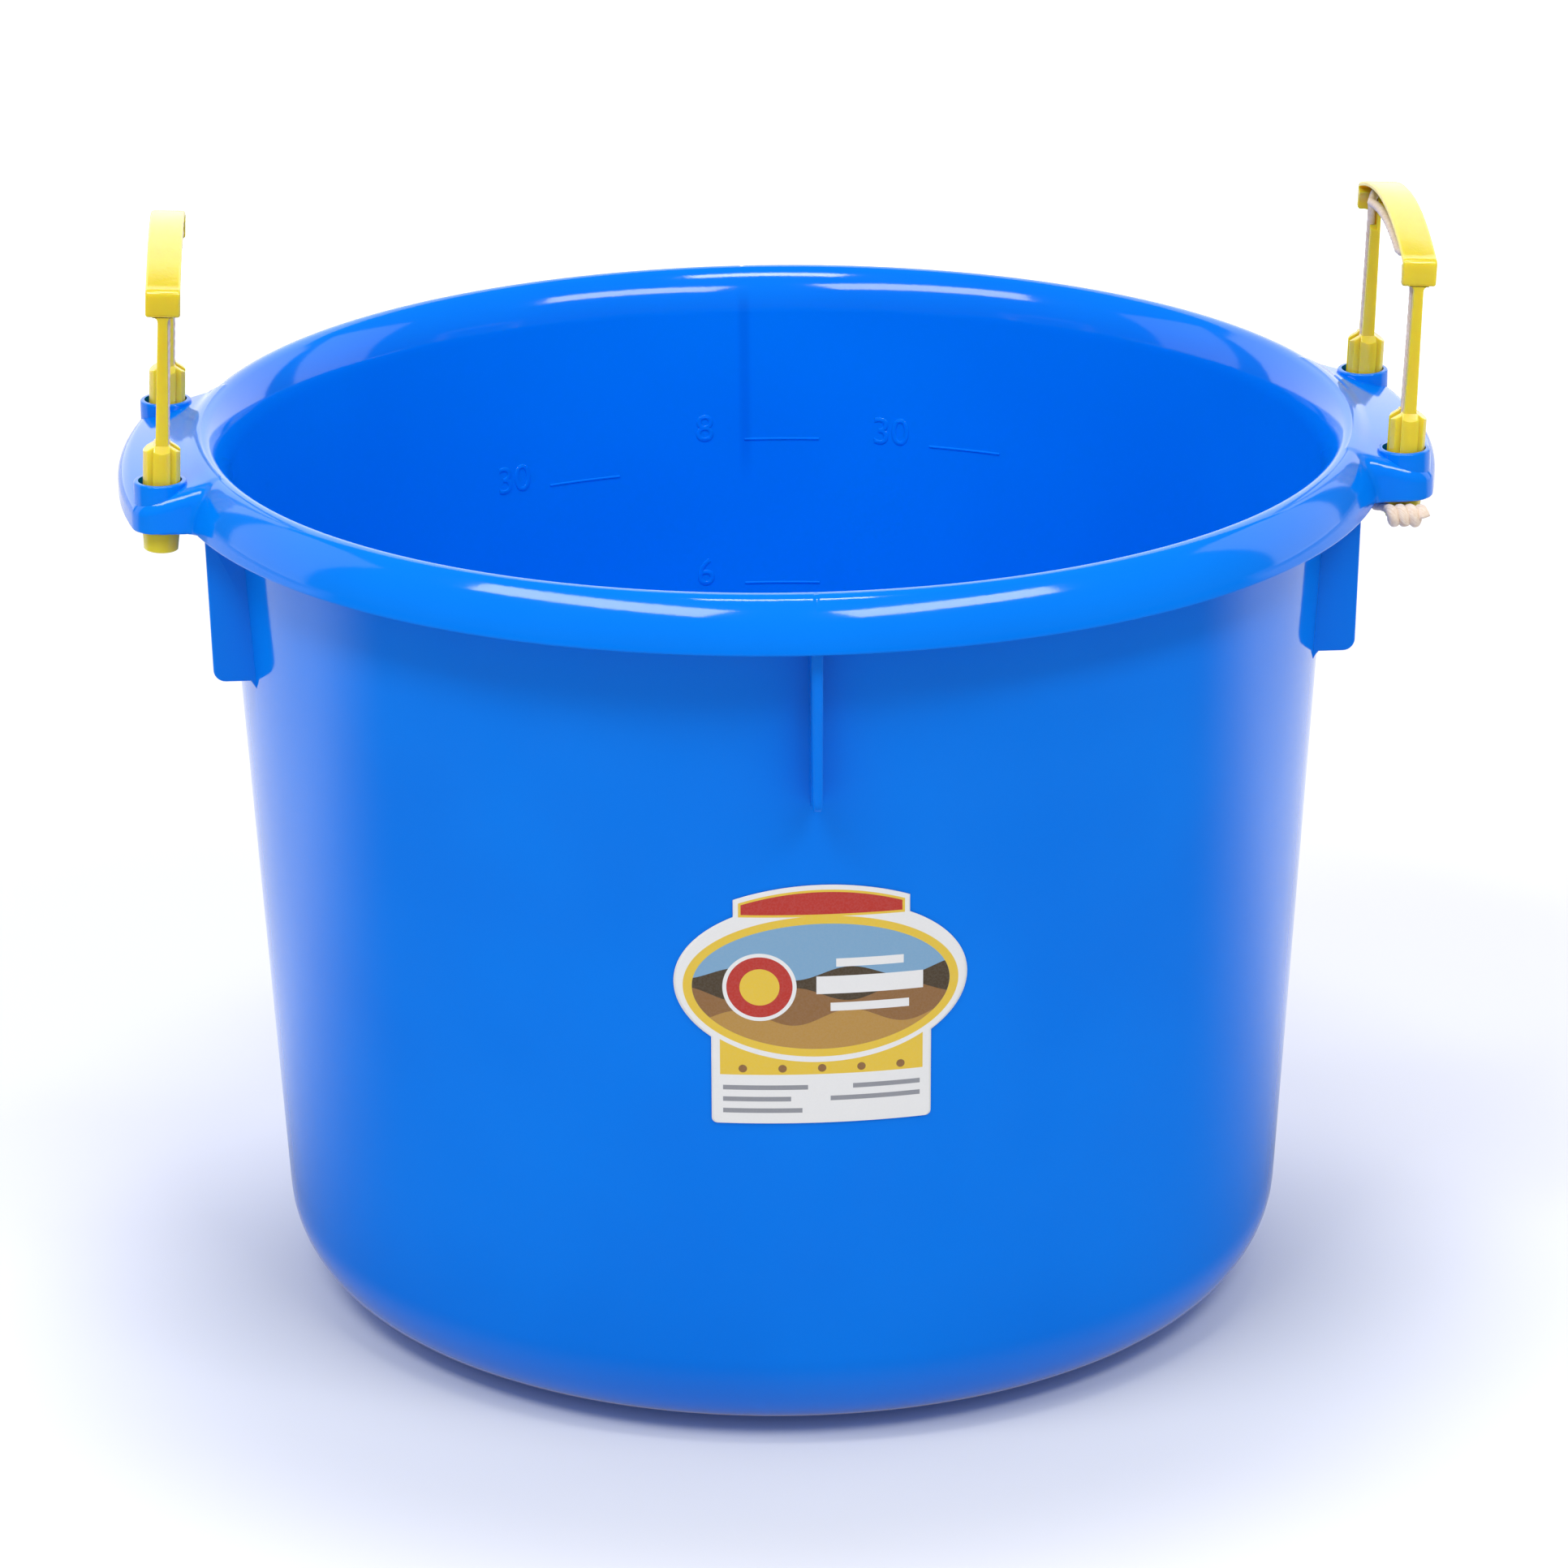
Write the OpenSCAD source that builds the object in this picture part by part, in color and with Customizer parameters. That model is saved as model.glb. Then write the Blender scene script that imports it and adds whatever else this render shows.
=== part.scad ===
// Muck bucket: a moulded tub with two ears, two snap-in handles, the rope laid in each handle, and a label.
// Millimetres. The tub stands on z = 0 with its axis on Z. The ears point along X, and -Y is the label side.

/* [Tub] */
// Height of the tub to the top of its rim
tub_h = 334; // [280:1:400]
// Radius that the outer wall would reach at the floor if the base corner were sharp
base_r = 187; // [160:1:220]
// Outward lean of the wall, in degrees
draft = 3.5; // [2:0.1:5]
// Thickness of the moulded wall, base, rim and ears
wall = 3.2; // [2.4:0.1:4]
// Outer radius of the rounded base corner
base_round = 38; // [25:1:50]

/* [Rim] */
// Radius over the crown of the rolled rim
crown_round = 5; // [4.5:0.1:6.5]
// Radius of the flare that leads the inner wall up to the crown
flare_round = 24; // [18:1:30]
// Radius of the skirt that curls down outside the crown
skirt_round = 27.5; // [24:0.5:36]
// Height of the rim, from its crown to the lower edge of its skirt
rim_h = 19.2; // [16:0.1:23]

/* [Ears] */
// Distance of each handle socket's axis outside the rim's skirt
socket_out = 8.1; // [7:0.1:16]
// Spacing of the two sockets in one ear
socket_pitch = 105; // [80:1:130]
// Radius of the ear's corner round a socket
lobe_round = 11; // [10.5:0.1:14]
// Depth of the ear's top below the rim's crown, at the sockets
ear_step = 6.2; // [5.4:0.1:10]
// Outward fall of the ear's top, in degrees
ear_slope = 16.5; // [8:0.5:18]
// Rounding of the ear's upper outer edge
ear_round = 5; // [1:0.5:5]
// Distance of the ear's underside below the rim's skirt
ear_drop = 1; // [0.5:0.1:3]
// Outer diameter of the raised collar round a socket
collar_d = 19.2; // [18.8:0.1:21]
// Depth of the collars' tops below the rim's crown
collar_below = 2.4; // [1:0.1:4]
// Thickness of the web that closes the bottom of a socket
web = 4; // [3:0.1:6]

/* [Gussets] */
// Distance that the gusset plates stand out from the wall, at their lower edge
gusset_w = 15; // [8:0.5:18]
// Outward lean of the gussets' outer edge, in degrees
gusset_lean = 1.5; // [0:0.1:3.5]
// Height of the gussets' lower edge above the floor
gusset_z = 254; // [200:1:280]
// Thickness of the gusset plates
gusset_t = 3.6; // [2.4:0.1:4.4]
// Rounding of a gusset's lower outer corner
gusset_round = 4.5; // [2:0.5:6]

/* [Handles] */
// Lean of both handles towards +X, as they rest in their sockets, in degrees
lean = 2.5; // [0:0.1:3]
// Diameter over the ribs of a plug
plug_d = 13.8; // [12.5:0.1:14]
// Gap between a plug and its socket, all round
plug_play = 1.1; // [0.9:0.05:1.5]
// Gap between a plug or a foot and the web that it straddles
seat_play = 0.75; // [0.7:0.05:1]
// Diameter of the neck that passes through the web
neck_d = 9; // [8:0.1:10]
// Gap between a neck and the hole in the web, all round
neck_play = 0.6; // [0.4:0.05:1]
// Diameter of a foot where it meets the web
foot_d = 14; // [13:0.1:15]
// Diameter of a foot at its lower end
foot_tip_d = 12.8; // [12.4:0.1:14]
// Length of a foot
foot_h = 7.6; // [7:0.1:12]
// Diameter of the cup in the end of a foot
cup_d = 10.6; // [10:0.1:11]
// Depth of the cup in the end of a foot
cup_h = 6.2; // [5.5:0.1:6.4]
// Height of the plug's fins above the collar
fin_rise = 10.8; // [6:0.1:16]
// Height of the sloping shoulder above the fins
shoulder_h = 3.2; // [2:0.1:6]
// Thickness of a plug's side fins, along the grip
fin_t = 9.2; // [7:0.1:11]
// Width of a plug's middle rib, across the grip
rib_w = 6.2; // [5:0.1:8]
// Thickness of a strap at the plug
strap_low = 4.6; // [4:0.1:6]
// Thickness of a strap at the grip
strap_high = 3.6; // [3:0.1:5]
// Depth of a strap, along the grip
strap_depth = 9.6; // [8:0.1:11]

/* [Grip] */
// Height of the grip's crown above the collars
grip_rise = 80.9; // [65:0.1:110]
// Radius of the grip's arch
grip_round = 180; // [120:1:300]
// Width of the grip, across the tub
grip_w = 12.6; // [12:0.1:18]
// Height of the grip's channel section
grip_h = 9.5; // [9:0.1:13]
// Height of the flat face at each end of the grip
grip_end_h = 9.6; // [8:0.1:13]
// Thickness of the grip's plates
grip_wall = 1.7; // [1.4:0.1:2]
// Number of finger waves under the grip
finger_waves = 6; // [3:1:8]
// Depth of the finger waves
finger_depth = 0.8; // [0.4:0.1:1.2]

/* [Rope] */
// Diameter of the rope
rope_d = 3.2; // [2.6:0.1:3.4]
// Gap between the rope and the channel that it lies in
rope_play = 0.2; // [0.1:0.05:0.3]
// Distance that the rope stands out of a strap's channel at the plug
rope_proud = 0.5; // [0:0.1:0.8]
// Radius of the rope's turn from a strap into the grip
rope_turn = 6.5; // [5:0.1:7]
// Radius of the wraps of the stopper knot
knot_round = 2.1; // [1.9:0.1:2.6]
// Number of wraps in the stopper knot
knot_wraps = 3.25; // [1.25:0.5:3.75]
// Gap between neighbouring wraps of the knot
knot_gap = 0.6; // [0.55:0.05:0.9]

/* [Label] */
// Width of the label round the wall
label_w = 104; // [60:1:140]
// Height of the label
label_h = 92; // [50:1:120]
// Turn of the label round the tub from the front rib, in degrees
label_turn = 0.65; // [-5:0.05:5]
// Height of the label's lower edge above the floor
label_z = 130.5; // [80:0.5:160]
// Thickness of the label
label_t = 0.25; // [0.15:0.05:0.5]
// Thickness of the glue behind the label
label_glue = 0.25; // [0.2:0.05:0.4]
// Radius of the label's lower corners
label_round = 2; // [1:0.5:8]
// Height of the label's oval, as a share of the label's height
label_oval = 0.69; // [0.5:0.01:0.75]
// Height of the oval's middle above the label's lower edge, as a share of the label's height
label_middle = 0.5925; // [0.55:0.0025:0.62]
// Width of the label's foot, as a share of the label's width
label_foot = 0.75; // [0.5:0.01:0.9]
// Width of the cap on the label's oval, as a share of the label's width
label_cap = 0.6; // [0.4:0.01:0.7]
// Radius of the cap's upper edge
label_cap_round = 90; // [60:1:120]

/* [Hidden] */
// True circles in every round solid
$fn = 64;
// Facets on each rounded stretch of the tub's section
arc_steps = 10;
// Angle at which the flare, crown and skirt of the rim pass into each other
blend = 45;
// Overlap of solids that are moulded as one
bite = 0.5;

// Section of the tub
inner_r = base_r - wall / cos(draft);
corner_r = base_r + base_round * tan(draft) - base_round / cos(draft);
crown_z = tub_h - crown_round;
flare_z = crown_z - (flare_round - crown_round) * sin(blend);
flare_r = inner_r + flare_z * tan(draft) + flare_round / cos(draft);
crown_r = flare_r - (flare_round - crown_round) * cos(blend);
skirt_z = crown_z - (skirt_round - crown_round) * sin(blend);
skirt_r = crown_r - (skirt_round - crown_round) * cos(blend);
rim_z = tub_h - rim_h;
skirt_end = asin((rim_z - skirt_z) / skirt_round);
skirt_end_inner = asin((rim_z - skirt_z) / (skirt_round - wall));
rim_r = skirt_r + skirt_round * cos(skirt_end);

// Ears and sockets
socket_y = socket_pitch / 2;
socket_r = rim_r + socket_out;
socket_x = sqrt(socket_r * socket_r - socket_y * socket_y);
socket_angle = atan2(socket_y, socket_x);
ear_r = socket_r + lobe_round;
ear_in = crown_r + crown_round * cos(blend);
ear_z = rim_z - ear_drop;
ear_end = socket_y + lobe_round;
collar_z = tub_h - collar_below;
bore_d = plug_d + 2 * plug_play;
web_z = ear_z + web;
pivot_z = ear_z + web / 2;

// Handles
plug_z = web_z + seat_play;
foot_z = ear_z - seat_play;
foot_tip_z = foot_z - foot_h;
fin_z = collar_z + fin_rise;
strap_z = fin_z + shoulder_h;
grip_z = collar_z + grip_rise;
grip_axis_z = grip_z - grip_round;
grip_end_y = socket_y + strap_depth / 2;
grip_end_z = grip_axis_z + sqrt(grip_round * grip_round - grip_end_y * grip_end_y);
grip_low_z = grip_end_z - grip_end_h;
block_y = socket_y - strap_depth / 2;
under_r = grip_round - grip_h + finger_depth;
under_angle = asin(block_y / under_r);

// Rope, in the frame of a handle on the +X side
rope_r = rope_d / 2;
rope_x = rope_r - rope_proud - strap_low / 2;
channel_x = rope_x + rope_r + rope_play;
channel_w = rope_d + 2 * rope_play;
rope_arch = grip_round - grip_wall - rope_r - (grip_h - finger_depth - 2 * grip_wall - rope_d) / 2;
turn_y = socket_y - rope_turn;
turn_z = grip_axis_z + sqrt(pow(rope_arch - rope_turn, 2) - turn_y * turn_y);
turn_angle = asin(turn_y / (rope_arch - rope_turn));
// In the grip it lies lower, along the open edge of the channel, past a lead at each end
rope_low = grip_round - grip_h + rope_r;
rope_edge = rope_r + rope_play - grip_w / 2;
rope_lead = 0.3;
rope_sides = 8;
ring_step = 3 * rope_d;
// Rings along each bend of a rope's end, and round each wrap of its knot
bend_steps = 8;
wrap_steps = 14;
// The tucked end turns through part of a circle in the cup
tuck_round = cup_d / 2 - rope_r - 2 * rope_play;
tuck_turn = 220;
tuck_z = foot_tip_z + cup_h - rope_r - rope_play;
tuck_fall = 1.2;
// The stopper knot lies in front of its foot, just under the ear
knot_pitch = rope_d + knot_gap;
knot_y = -(foot_d / 2 + knot_round + rope_r + knot_gap);
knot_z = ear_z - 2 * knot_gap - knot_round - rope_r;
knot_x = -knot_wraps * knot_pitch / 2;
// Pulls that shape the lead from the knot to the slot in the foot, and the drop from the slot to the strap
lead_pull = rope_d * [-0.4, 1.5, 0];
slot_pull = rope_d * [1.1, 0, 0];

tub_blue = [0, 0.42, 0.88];
handle_yellow = [0.92, 0.83, 0.2];
rope_beige = [0.87, 0.78, 0.69];
label_white = [0.95, 0.94, 0.9];

// Points along an arc about a centre, from one angle to another
function arc(centre, r, from, to, steps = arc_steps) =
    [for (i = [0:steps]) let (a = from + (to - from) * i / steps) centre + r * [cos(a), sin(a)]];

// Outer radius of the tub's wall at a height
function wall_r(z) = base_r + z * tan(draft);

// Distance from the middle of the tub to its wall, along X, at an offset along Y
function wall_x(z, y) = sqrt(pow(wall_r(z), 2) - y * y);

// The rim's surface from the wall over the crown to the skirt, at a depth under the visible face
function rim_path(depth, end_angle) = concat(
    arc([flare_r, flare_z], flare_round - depth, 180 - draft, 180 - blend),
    arc([crown_r, crown_z], crown_round - depth, 180 - blend, blend),
    arc([skirt_r, skirt_z], skirt_round - depth, blend, end_angle));

function reversed(list) = [for (i = [len(list) - 1:-1:0]) list[i]];

// The moulded shell: base, wall and rolled rim, turned about Z
module tub_shell() {
    corner = [corner_r, base_round];
    rotate_extrude()
        polygon(concat(
            [[0, 0]],
            arc(corner, base_round, -90, -draft),
            rim_path(wall, skirt_end_inner),
            reversed(rim_path(0, skirt_end)),
            arc(corner, base_round - wall, -draft, -90),
            [[0, wall]]));
}

// Height of an ear's sloping top at a distance from the axis
function ear_top(r) = tub_h - ear_step - (r - socket_r) * tan(ear_slope);

// Plan of an ear on the +X side: square ends, lobes round the sockets and an outer edge about the tub's axis
module ear_plan() {
    polygon(concat(
        [[0, -ear_end]],
        arc([socket_x, -socket_y], lobe_round, -90, -socket_angle),
        arc([0, 0], ear_r, -socket_angle, socket_angle),
        arc([socket_x, socket_y], lobe_round, socket_angle, 90),
        [[0, ear_end]]));
}

// The ear as a shelf outside the rim, hollow from below between its two sockets
module ear() {
    edge_r = ear_r - ear_round;
    edge = [edge_r, ear_top(edge_r) - ear_round / cos(ear_slope)];
    pocket_r = ear_r - wall;
    pocket_half = socket_y - lobe_round - wall;
    lift = wall / cos(ear_slope);
    difference() {
        intersection() {
            rotate_extrude()
                polygon(concat(
                    [[ear_in, ear_z], [ear_in, ear_top(ear_in)]],
                    arc(edge, ear_round, 90 - ear_slope, 0),
                    [[ear_r, ear_z]]));
            linear_extrude(tub_h)
                ear_plan();
        }
        intersection() {
            rotate_extrude()
                polygon([
                    [ear_in - bite, ear_z - bite],
                    [ear_in - bite, ear_top(ear_in - bite) - lift],
                    [pocket_r, ear_top(pocket_r) - lift],
                    [pocket_r, ear_z - bite]]);
            translate([0, -pocket_half, 0])
                cube([ear_r, 2 * pocket_half, tub_h]);
        }
    }
}

// A gusset plate in a plane parallel to X and Z, from the wall up into the hollow of the rim
module gusset(y) {
    top_z = rim_z + 2 * wall;
    round_at = [wall_x(gusset_z, y) + gusset_w - gusset_round, gusset_z + gusset_round];
    edge = round_at + gusset_round * [cos(gusset_lean), -sin(gusset_lean)];
    difference() {
        translate([0, y, 0])
            rotate([90, 0, 0])
                linear_extrude(gusset_t, center = true)
                    polygon(concat(
                        [[0, top_z], [0, gusset_z]],
                        arc(round_at, gusset_round, -90, -gusset_lean),
                        [[edge[0] + (top_z - edge[1]) * tan(gusset_lean), top_z]]));
        cylinder(h = tub_h, r1 = base_r - wall / 2, r2 = wall_r(tub_h) - wall / 2);
    }
}

// Places something at each of the four sockets
module at_sockets() {
    for (side = [-1, 1], end = [-1, 1])
        translate([side * socket_x, end * socket_y, 0])
            children();
}

// The whole tub: one moulding with its ears, collars and gussets
module tub() {
    color(tub_blue)
        difference() {
            union() {
                tub_shell();
                for (side = [0, 1])
                    mirror([side, 0, 0]) {
                        ear();
                        gusset(-socket_y);
                        gusset(socket_y);
                    }
                for (turn = [-90, 90])
                    rotate(turn)
                        gusset(0);
                at_sockets()
                    translate([0, 0, web_z])
                        cylinder(d = collar_d, h = collar_z - web_z);
            }
            at_sockets() {
                translate([0, 0, web_z])
                    cylinder(d = bore_d, h = tub_h - web_z);
                translate([0, 0, ear_z - bite])
                    cylinder(d = neck_d + 2 * neck_play, h = web + 2 * bite);
            }
        }
}

// Extrudes an outline drawn in X and Z along Y, about the middle
module across_y(depth) {
    rotate([90, 0, 0])
        linear_extrude(depth, center = true)
            children();
}

// Extrudes an outline drawn in Y and Z along X, about the middle
module across_x(depth) {
    rotate([90, 0, 90])
        linear_extrude(depth, center = true)
            children();
}

// Outline of a plug: straight sides, then a shoulder that narrows to the strap
module plug_outline(half, shoulder_half) {
    polygon([
        [-half, plug_z], [half, plug_z], [half, fin_z], [shoulder_half, strap_z],
        [-shoulder_half, strap_z], [-half, fin_z]]);
}

// One leg: strap, plug of crossed ribs, neck and tapered foot
module leg() {
    across_y(strap_depth)
        polygon([
            [-strap_low / 2, strap_z - bite], [strap_low / 2, strap_z - bite],
            [strap_high / 2, grip_low_z + bite], [-strap_high / 2, grip_low_z + bite]]);
    intersection() {
        translate([0, 0, plug_z])
            cylinder(d = plug_d, h = strap_z - plug_z);
        union() {
            across_y(fin_t)
                plug_outline(plug_d / 2 + bite, strap_low / 2);
            across_x(rib_w)
                plug_outline(plug_d / 2 + bite, strap_depth / 2);
        }
    }
    translate([0, 0, foot_z - bite])
        cylinder(d = neck_d, h = plug_z - foot_z + 2 * bite);
    difference() {
        translate([0, 0, foot_tip_z])
            cylinder(d1 = foot_tip_d, d2 = foot_d, h = foot_h);
        translate([0, 0, foot_tip_z - bite])
            cylinder(d = cup_d, h = cup_h + bite);
    }
}

// The wavy lower edge of the grip's outer plate
function finger_path() = [
    for (i = [0:8 * finger_waves])
        let (t = i / (8 * finger_waves),
             a = 90 + under_angle * (2 * t - 1),
             r = under_r - finger_depth * (0.5 + 0.5 * cos(360 * finger_waves * t)))
        [r * cos(a), grip_axis_z + r * sin(a)]];

// The arched grip: a top and an outer plate, open towards the tub and below, with a solid block at each end
module grip() {
    end_angle = asin(grip_end_y / grip_round);
    hollow_r = grip_round - grip_wall;
    hollow_angle = asin((grip_end_y - grip_wall) / hollow_r);
    axis = [0, grip_axis_z];
    ledge_y = block_y - grip_wall;
    ledge_z = finger_path()[0][1] + grip_wall;
    open_z = grip_low_z - bite;
    difference() {
        across_x(grip_w)
            polygon(concat(
                arc(axis, grip_round, 90 + end_angle, 90 - end_angle, 2 * arc_steps),
                [[grip_end_y, grip_low_z], [block_y, grip_low_z]],
                finger_path(),
                [[-block_y, grip_low_z], [-grip_end_y, grip_low_z]]));
        translate([-grip_wall, 0, 0])
            across_x(grip_w)
                polygon(concat(
                    arc(axis, hollow_r, 90 + hollow_angle, 90 - hollow_angle, 2 * arc_steps),
                    [[block_y, ledge_z], [ledge_y, ledge_z], [ledge_y, open_z]],
                    [[-ledge_y, open_z], [-ledge_y, ledge_z], [-block_y, ledge_z]]));
    }
}

// A whole handle on the +X side, upright, with the rope's channel open towards the tub
module handle() {
    pocket_r = rope_turn + rope_r + rope_play;
    difference() {
        union() {
            grip();
            for (end = [-1, 1])
                translate([0, end * socket_y, 0])
                    leg();
        }
        for (end = [-1, 1]) {
            translate([channel_x - grip_w, end * socket_y - channel_w / 2, foot_tip_z - bite])
                cube([grip_w, channel_w, turn_z - foot_tip_z + bite]);
            translate([channel_x - grip_w, end * turn_y, turn_z])
                rotate([0, 90, 0])
                    cylinder(r = pocket_r, h = grip_w);
        }
    }
}

function unit(v) = v / norm(v);

// Point on a curve with four control points
function bezier(p, t) =
    pow(1 - t, 3) * p[0] + 3 * t * pow(1 - t, 2) * p[1] + 3 * t * t * (1 - t) * p[2] + pow(t, 3) * p[3];

// Direction of a path at one of its points
function heading(path, i) = unit(path[min(i + 1, len(path) - 1)] - path[max(i - 1, 0)]);

// A direction square to the path at each point, carried along without twist
function carried(path) = [
    for (i = 0, n = [1, 0, 0]; i < len(path);
         i = i + 1, n = i < len(path) ? unit(n - (n * heading(path, i)) * heading(path, i)) : n) n];

// A closed tube of round section along a path
module tube(path, r) {
    n = len(path);
    normals = carried(path);
    points = [
        for (i = [0:n - 1], k = [0:rope_sides - 1])
            let (a = 360 * k / rope_sides, side = cross(heading(path, i), normals[i]))
            path[i] + r * (cos(a) * normals[i] + sin(a) * side)];
    sides = [
        for (i = [0:n - 2], k = [0:rope_sides - 1])
            let (a = i * rope_sides + k, b = i * rope_sides + (k + 1) % rope_sides,
                 c = b + rope_sides, d = a + rope_sides)
            each [[a, b, c], [a, c, d]]];
    last = (n - 1) * rope_sides;
    caps = [for (k = [1:rope_sides - 2]) each [[0, k + 1, k], [last, last + k, last + k + 1]]];
    polyhedron(points, [for (f = concat(sides, caps)) [f[0], f[2], f[1]]], convexity = 10);
}

// The straight rope in a strap, from the foot up to its turn
function strap_rope(end) =
    let (low = foot_z, steps = ceil((turn_z - low) / ring_step))
    [for (i = [0:steps]) [rope_x, end * socket_y, low + (turn_z - low) * i / steps]];

// A smooth rise from 0 to 1
function ease(t) = let (u = max(0, min(1, t))) u * u * (3 - 2 * u);

// The rope's turn out of the strap at the front, its arch along the grip and its turn at the back
function grip_rope() =
    let (steps = 2 * arc_steps,
         front = arc([-turn_y, turn_z], rope_turn, 180, 90 + turn_angle, 6),
         over = [
            for (i = [0:steps])
                let (side = 1 - 2 * i / steps,
                     a = 90 + turn_angle * side,
                     out = ease((1 - abs(side)) / rope_lead),
                     r = rope_arch + (rope_low - rope_arch) * out)
                [rope_x + (rope_edge - rope_x) * out, r * cos(a), grip_axis_z + r * sin(a)]],
         back = arc([turn_y, turn_z], rope_turn, 90 - turn_angle, 0, 6))
    concat(
        [for (i = [1:5]) [rope_x, front[i][0], front[i][1]]],
        over,
        [for (i = [1:5]) [rope_x, back[i][0], back[i][1]]]);

// A rope end that is tucked into its foot's cup, from the end up to the strap
function tucked_end(end) = [
    for (i = [0:bend_steps])
        let (t = 1 - i / bend_steps,
             a = 180 + end * tuck_turn * t,
             r = -rope_x + (tuck_round + rope_x) * min(1, 3 * t))
        [r * cos(a), end * socket_y + r * sin(a), tuck_z - tuck_fall * t]];

// The rope end that leaves the front foot through its slot and is wrapped in a stopper knot, knot first
function knotted_end() =
    let (y0 = -socket_y,
         out = -(foot_d / 2 + rope_r),
         start = [knot_x, y0 + knot_y, knot_z + knot_round],
         exit = [out, y0, knot_z],
         steps = ceil(wrap_steps * knot_wraps),
         wraps = [
            for (i = [steps:-1:0])
                let (turn = knot_wraps * i / steps, a = 90 + 360 * turn)
                [knot_x + knot_pitch * turn,
                 y0 + knot_y + knot_round * cos(a),
                 knot_z + knot_round * sin(a)]],
         lead = [start, start + lead_pull, exit - slot_pull, exit],
         drop = [exit, exit + slot_pull, [rope_x, y0, knot_z], [rope_x, y0, foot_z]])
    concat(
        wraps,
        [for (i = [1:bend_steps]) bezier(lead, i / bend_steps)],
        [for (i = [1:bend_steps - 1]) bezier(drop, i / bend_steps)]);

// A handle's rope on the +X side, with its front end tucked away or knotted
module rope(knotted) {
    front = knotted ? knotted_end() : tucked_end(-1);
    path = concat(
        front,
        strap_rope(-1),
        grip_rope(),
        reversed(strap_rope(1)),
        reversed(tucked_end(1)));
    tube(path, rope_r);
    runs = lengths(path);
    gap = min([
        for (i = [0:len(path) - 1], j = [i + 1:1:len(path) - 1])
            if (runs[j] - runs[i] > 2.5 * rope_d) norm(path[i] - path[j]) - rope_d]);
    echo(least_gap_of_rope_to_itself = gap);
}

// Length of a path from its start to each of its points
function lengths(path) = [
    for (i = 0, s = 0; i < len(path);
         i = i + 1, s = s + (i < len(path) ? norm(path[i] - path[i - 1]) : 0)) s];

// Moves a piece of the +X handle to its ear and leans it in its sockets
module on_ear(left) {
    translate([left ? -socket_x : socket_x, 0, pivot_z])
        rotate([0, lean, 0])
            mirror([left ? 1 : 0, 0, 0])
                translate([0, 0, -pivot_z])
                    children();
}

module left_handle() { color(handle_yellow) on_ear(true) handle(); }

module right_handle() { color(handle_yellow) on_ear(false) handle(); }

module left_rope() { color(rope_beige) on_ear(true) rope(false); }

module right_rope() { color(rope_beige) on_ear(false) rope(true); }

// A thin sheet round the wall
module wall_sheet(depth) {
    cylinder(h = tub_h, r1 = base_r + depth, r2 = wall_r(tub_h) + depth);
}

// The label's outline: an oval that stands on a straight foot and carries a low cap
module label_outline() {
    foot = label_foot * label_w / 2;
    cap = label_cap * label_w / 2;
    middle_z = label_z + label_middle * label_h;
    top_z = label_z + label_h;
    translate([0, middle_z])
        scale([label_w / (label_oval * label_h), 1])
            circle(d = label_oval * label_h);
    polygon(concat(
        arc([-foot + label_round, label_z + label_round], label_round, 180, 270),
        arc([foot - label_round, label_z + label_round], label_round, 270, 360),
        [[foot, middle_z], [-foot, middle_z]]));
    intersection() {
        translate([0, top_z - label_cap_round])
            circle(label_cap_round, $fn = 4 * $fn);
        translate([-cap, middle_z])
            square([2 * cap, top_z - middle_z]);
    }
}

// The label, cut to its outline and laid on the front of the wall
module label() {
    color(label_white)
        rotate(label_turn)
            intersection() {
                difference() {
                    wall_sheet(label_glue + label_t);
                    wall_sheet(label_glue);
                }
                translate([0, -base_r / 2, 0])
                    rotate([90, 0, 0])
                        linear_extrude(base_r)
                            label_outline();
            }
}

tub();
left_handle();
right_handle();
left_rope();
right_rope();
label();
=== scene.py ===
"""Muck bucket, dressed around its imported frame. Sizes are in millimetres, meshes in Blender in metres."""

import bmesh
import bpy
import numpy as np
from mathutils import Matrix, Vector


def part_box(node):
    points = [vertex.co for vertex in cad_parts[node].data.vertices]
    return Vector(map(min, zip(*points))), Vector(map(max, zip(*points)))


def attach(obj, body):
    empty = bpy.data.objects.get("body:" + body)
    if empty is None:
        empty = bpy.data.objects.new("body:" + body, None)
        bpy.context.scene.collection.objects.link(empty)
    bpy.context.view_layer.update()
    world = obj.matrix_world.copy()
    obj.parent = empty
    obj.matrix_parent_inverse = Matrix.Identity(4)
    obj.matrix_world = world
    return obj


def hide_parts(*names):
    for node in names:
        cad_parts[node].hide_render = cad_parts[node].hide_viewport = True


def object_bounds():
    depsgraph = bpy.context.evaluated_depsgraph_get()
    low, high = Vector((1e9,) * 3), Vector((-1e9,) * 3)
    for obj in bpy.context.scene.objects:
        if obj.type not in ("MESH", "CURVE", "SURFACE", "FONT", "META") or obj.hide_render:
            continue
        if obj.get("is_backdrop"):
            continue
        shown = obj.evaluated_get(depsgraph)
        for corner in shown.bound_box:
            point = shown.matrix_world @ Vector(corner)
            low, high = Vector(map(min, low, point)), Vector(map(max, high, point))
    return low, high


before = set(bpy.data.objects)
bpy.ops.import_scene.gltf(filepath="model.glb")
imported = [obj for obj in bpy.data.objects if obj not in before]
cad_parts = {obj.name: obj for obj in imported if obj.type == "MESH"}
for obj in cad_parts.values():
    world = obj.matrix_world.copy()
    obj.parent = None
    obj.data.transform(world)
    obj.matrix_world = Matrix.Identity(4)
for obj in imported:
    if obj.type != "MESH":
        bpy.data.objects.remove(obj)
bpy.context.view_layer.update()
scene = bpy.context.scene
scene.view_settings.view_transform = "Standard"

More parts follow.
